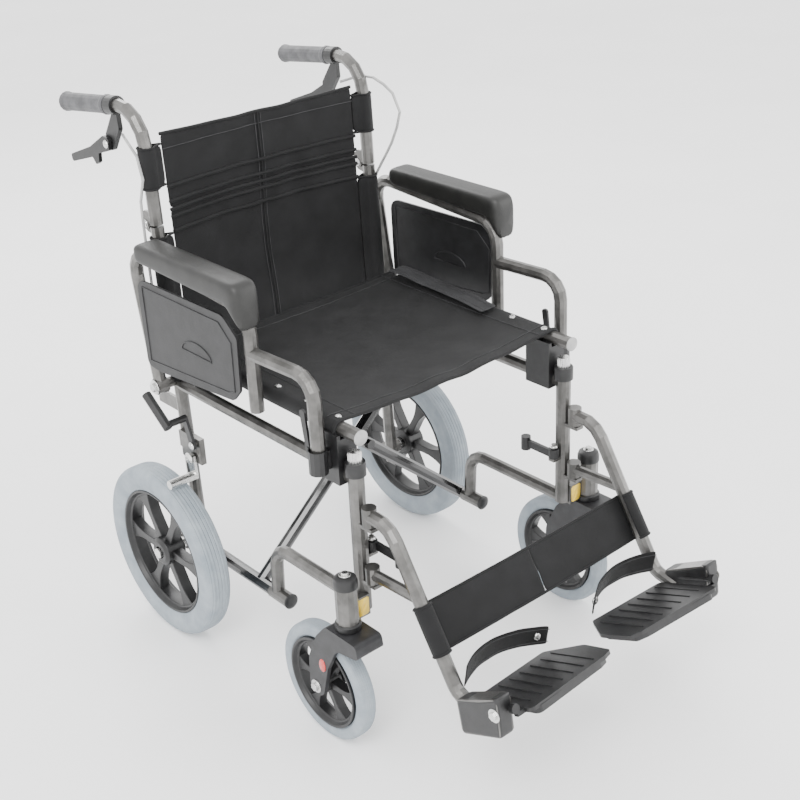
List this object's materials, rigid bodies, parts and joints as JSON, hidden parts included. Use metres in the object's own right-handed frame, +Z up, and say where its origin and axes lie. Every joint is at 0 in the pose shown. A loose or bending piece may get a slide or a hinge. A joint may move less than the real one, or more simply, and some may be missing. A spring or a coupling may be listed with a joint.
{
  "type": "wheelchair",
  "caption": "Folding manual transit wheelchair with flip-up armrests, swing-away legrests, push handles, a scissor brace and small rear wheels.",
  "frame": {"origin": "centre of the chair's box, on the ground", "axes": "+Z up, -Y the way the chair faces, +X the occupant's left"},
  "size_m": [0.614, 1.0524, 0.9332],
  "materials": {
    "frame": "hammered silver-grey paint",
    "gloss": "gloss black paint",
    "black": "satin black plastic",
    "fork": "dark grey moulded plastic",
    "tyre": "pale blue-grey solid rubber",
    "steel": "zinc-plated steel",
    "grip": "soft grey rubber",
    "pad": "grained polyurethane skin",
    "guard": "grained dark grey plastic",
    "nylon": "woven black nylon",
    "cable": "light grey cable sheath"
  },
  "bodies": {
    "frame_right": {"rear_post_right": "frame", "side_rail_right": "frame", "front_post_right": "frame", "lower_rail_right": "frame", "rail_saddle_right": "black", "rear_axle_right": "steel", "back_sling": "nylon"},
    "cross_a": {"cross_tube_a": "gloss", "seat_rail_left": "frame", "seat_sling": "nylon", "lap_belt": "nylon"},
    "cross_b": {"cross_tube_b": "gloss", "seat_rail_right": "frame"},
    "frame_left": {"rear_post_left": "frame", "side_rail_left": "frame", "front_post_left": "frame", "lower_rail_left": "frame", "rail_saddle_left": "black", "rear_axle_left": "steel"},
    "back_right": {"push_handle_right": "frame", "grip_right": "grip", "brake_perch_right": "black", "brake_cable_right": "cable"},
    "brake_lever_right": {"brake_lever_right": "black"},
    "arm_right": {"arm_tube_right": "frame", "arm_pad_right": "pad", "skirt_guard_right": "guard"},
    "arm_latch_right": {"arm_latch_right": "black"},
    "hanger_right": {"hanger_tube_right": "frame"},
    "hanger_latch_right": {"hanger_latch_right": "black"},
    "footplate_right": {"footplate_right": "black", "heel_loop_right": "nylon"},
    "rear_wheel_right": {"rear_rim_right": "black", "rear_tyre_right": "tyre"},
    "castor_fork_right": {"castor_fork_right": "fork"},
    "castor_wheel_right": {"castor_rim_right": "black", "castor_tyre_right": "tyre"},
    "parking_lever_right": {"parking_lever_right": "black"},
    "parking_shoe_right": {"parking_shoe_right": "steel"},
    "back_left": {"push_handle_left": "frame", "grip_left": "grip", "brake_perch_left": "black", "brake_cable_left": "cable"},
    "brake_lever_left": {"brake_lever_left": "black"},
    "arm_left": {"arm_tube_left": "frame", "arm_pad_left": "pad", "skirt_guard_left": "guard"},
    "arm_latch_left": {"arm_latch_left": "black"},
    "hanger_left": {"hanger_tube_left": "frame", "calf_strap": "nylon"},
    "hanger_latch_left": {"hanger_latch_left": "black"},
    "footplate_left": {"footplate_left": "black", "heel_loop_left": "nylon"},
    "rear_wheel_left": {"rear_rim_left": "black", "rear_tyre_left": "tyre"},
    "castor_fork_left": {"castor_fork_left": "fork"},
    "castor_wheel_left": {"castor_rim_left": "black", "castor_tyre_left": "tyre"},
    "parking_lever_left": {"parking_lever_left": "black"},
    "parking_shoe_left": {"parking_shoe_left": "steel"}
  },
  "joints": [
    {"name": "fold", "type": "hinge", "parent": "frame_right", "child": "cross_a", "pos_m": [-0.222, 0.09127, 0.148], "axis": [0, -1, 0], "range_deg": [0, 32.5], "deforming": ["seat_sling", "lap_belt", "back_sling", "calf_strap"]},
    {"name": "scissor", "type": "hinge", "parent": "cross_a", "child": "cross_b", "pos_m": [0, 0.07927, 0.34], "axis": [0, -1, 0], "range_deg": [-65, 0]},
    {"name": "frame_spread", "type": "hinge", "parent": "cross_b", "child": "frame_left", "pos_m": [0.222, 0.06827, 0.148], "axis": [0, -1, 0], "range_deg": [0, 32.5]},
    {"name": "back_fold_right", "type": "hinge", "parent": "frame_right", "child": "back_right", "pos_m": [-0.222, 0.30677, 0.7365], "axis": [-1, 0, 0], "range_deg": [0, 105], "deforming": ["brake_cable_right"]},
    {"name": "brake_squeeze_right", "type": "hinge", "parent": "back_right", "child": "brake_lever_right", "pos_m": [-0.2312, 0.39127, 0.852], "axis": [1, 0, 0], "range_deg": [0, 25], "stiffness_Nm_per_rad": 0.8, "springref_deg": -17.19},
    {"name": "arm_flip_right", "type": "hinge", "parent": "frame_right", "child": "arm_right", "pos_m": [-0.257, 0.27827, 0.467], "axis": [-1, 0, 0], "range_deg": [0, 95]},
    {"name": "arm_release_right", "type": "hinge", "parent": "frame_right", "child": "arm_latch_right", "pos_m": [-0.2551, -0.12223, 0.498], "axis": [-1, 0, 0], "range_deg": [0, 20], "stiffness_Nm_per_rad": 0.3, "springref_deg": -17.19},
    {"name": "hanger_swing_right", "type": "hinge", "parent": "frame_right", "child": "hanger_right", "pos_m": [-0.222, -0.21223, 0.31], "axis": [0, 0, -1], "range_deg": [0, 60]},
    {"name": "hanger_release_right", "type": "hinge", "parent": "frame_right", "child": "hanger_latch_right", "pos_m": [-0.1998, -0.18673, 0.335], "axis": [0, 0, 1], "range_deg": [0, 30], "stiffness_Nm_per_rad": 0.3, "springref_deg": -17.19},
    {"name": "footplate_flip_right", "type": "hinge", "parent": "hanger_right", "child": "footplate_right", "pos_m": [-0.222, -0.50373, 0.223], "axis": [0, -0.9272, 0.3746], "range_deg": [0, 90], "deforming": ["heel_loop_right"]},
    {"name": "rear_roll_right", "type": "hinge", "parent": "frame_right", "child": "rear_wheel_right", "pos_m": [-0.282, 0.27927, 0.1575], "axis": [1, 0, 0], "continuous": true},
    {"name": "castor_swivel_right", "type": "hinge", "parent": "frame_right", "child": "castor_fork_right", "pos_m": [-0.268, -0.20373, 0.228], "axis": [0, 0, 1], "continuous": true},
    {"name": "castor_roll_right", "type": "hinge", "parent": "castor_fork_right", "child": "castor_wheel_right", "pos_m": [-0.268, -0.14473, 0.1], "axis": [1, 0, 0], "continuous": true},
    {"name": "parking_pull_right", "type": "hinge", "parent": "frame_right", "child": "parking_lever_right", "pos_m": [-0.249, 0.21127, 0.375], "axis": [1, 0, 0], "range_deg": [0, 50]},
    {"name": "shoe_press_right", "type": "hinge", "parent": "frame_right", "child": "parking_shoe_right", "pos_m": [-0.249, 0.22427, 0.347], "axis": [1, 0, 0], "range_deg": [0, 27.01]},
    {"name": "back_fold_left", "type": "hinge", "parent": "frame_left", "child": "back_left", "pos_m": [0.222, 0.30677, 0.7365], "axis": [-1, 0, 0], "range_deg": [0, 105], "deforming": ["brake_cable_left"]},
    {"name": "brake_squeeze_left", "type": "hinge", "parent": "back_left", "child": "brake_lever_left", "pos_m": [0.2312, 0.39127, 0.852], "axis": [1, 0, 0], "range_deg": [0, 25], "stiffness_Nm_per_rad": 0.8, "springref_deg": -17.19},
    {"name": "arm_flip_left", "type": "hinge", "parent": "frame_left", "child": "arm_left", "pos_m": [0.257, 0.27827, 0.467], "axis": [-1, 0, 0], "range_deg": [0, 95]},
    {"name": "arm_release_left", "type": "hinge", "parent": "frame_left", "child": "arm_latch_left", "pos_m": [0.2551, -0.12223, 0.498], "axis": [-1, 0, 0], "range_deg": [0, 20], "stiffness_Nm_per_rad": 0.3, "springref_deg": -17.19},
    {"name": "hanger_swing_left", "type": "hinge", "parent": "frame_left", "child": "hanger_left", "pos_m": [0.222, -0.21223, 0.31], "axis": [0, 0, 1], "range_deg": [0, 60]},
    {"name": "hanger_release_left", "type": "hinge", "parent": "frame_left", "child": "hanger_latch_left", "pos_m": [0.1998, -0.18673, 0.335], "axis": [0, 0, 1], "range_deg": [0, 30], "stiffness_Nm_per_rad": 0.3, "springref_deg": -17.19},
    {"name": "footplate_flip_left", "type": "hinge", "parent": "hanger_left", "child": "footplate_left", "pos_m": [0.222, -0.50373, 0.223], "axis": [0, 0.9272, -0.3746], "range_deg": [0, 90], "deforming": ["heel_loop_left"]},
    {"name": "rear_roll_left", "type": "hinge", "parent": "frame_left", "child": "rear_wheel_left", "pos_m": [0.282, 0.27927, 0.1575], "axis": [1, 0, 0], "continuous": true},
    {"name": "castor_swivel_left", "type": "hinge", "parent": "frame_left", "child": "castor_fork_left", "pos_m": [0.268, -0.20373, 0.228], "axis": [0, 0, 1], "continuous": true},
    {"name": "castor_roll_left", "type": "hinge", "parent": "castor_fork_left", "child": "castor_wheel_left", "pos_m": [0.268, -0.14473, 0.1], "axis": [1, 0, 0], "continuous": true},
    {"name": "parking_pull_left", "type": "hinge", "parent": "frame_left", "child": "parking_lever_left", "pos_m": [0.249, 0.21127, 0.375], "axis": [1, 0, 0], "range_deg": [0, 50]},
    {"name": "shoe_press_left", "type": "hinge", "parent": "frame_left", "child": "parking_shoe_left", "pos_m": [0.249, 0.22427, 0.347], "axis": [1, 0, 0], "range_deg": [0, 27.01]}
  ],
  "couplings": [
    {"joint": "scissor", "follows": "fold", "ratio": -2},
    {"joint": "frame_spread", "follows": "fold", "ratio": 1},
    {"joint": "footplate_flip_right", "follows": "fold", "ratio": 2.7691},
    {"joint": "shoe_press_right", "follows": "parking_pull_right", "ratio": 0.54},
    {"joint": "footplate_flip_left", "follows": "fold", "ratio": 2.7691},
    {"joint": "shoe_press_left", "follows": "parking_pull_left", "ratio": 0.54},
    {"joint": "back_fold_left", "follows": "back_fold_right", "ratio": 1}
  ]
}
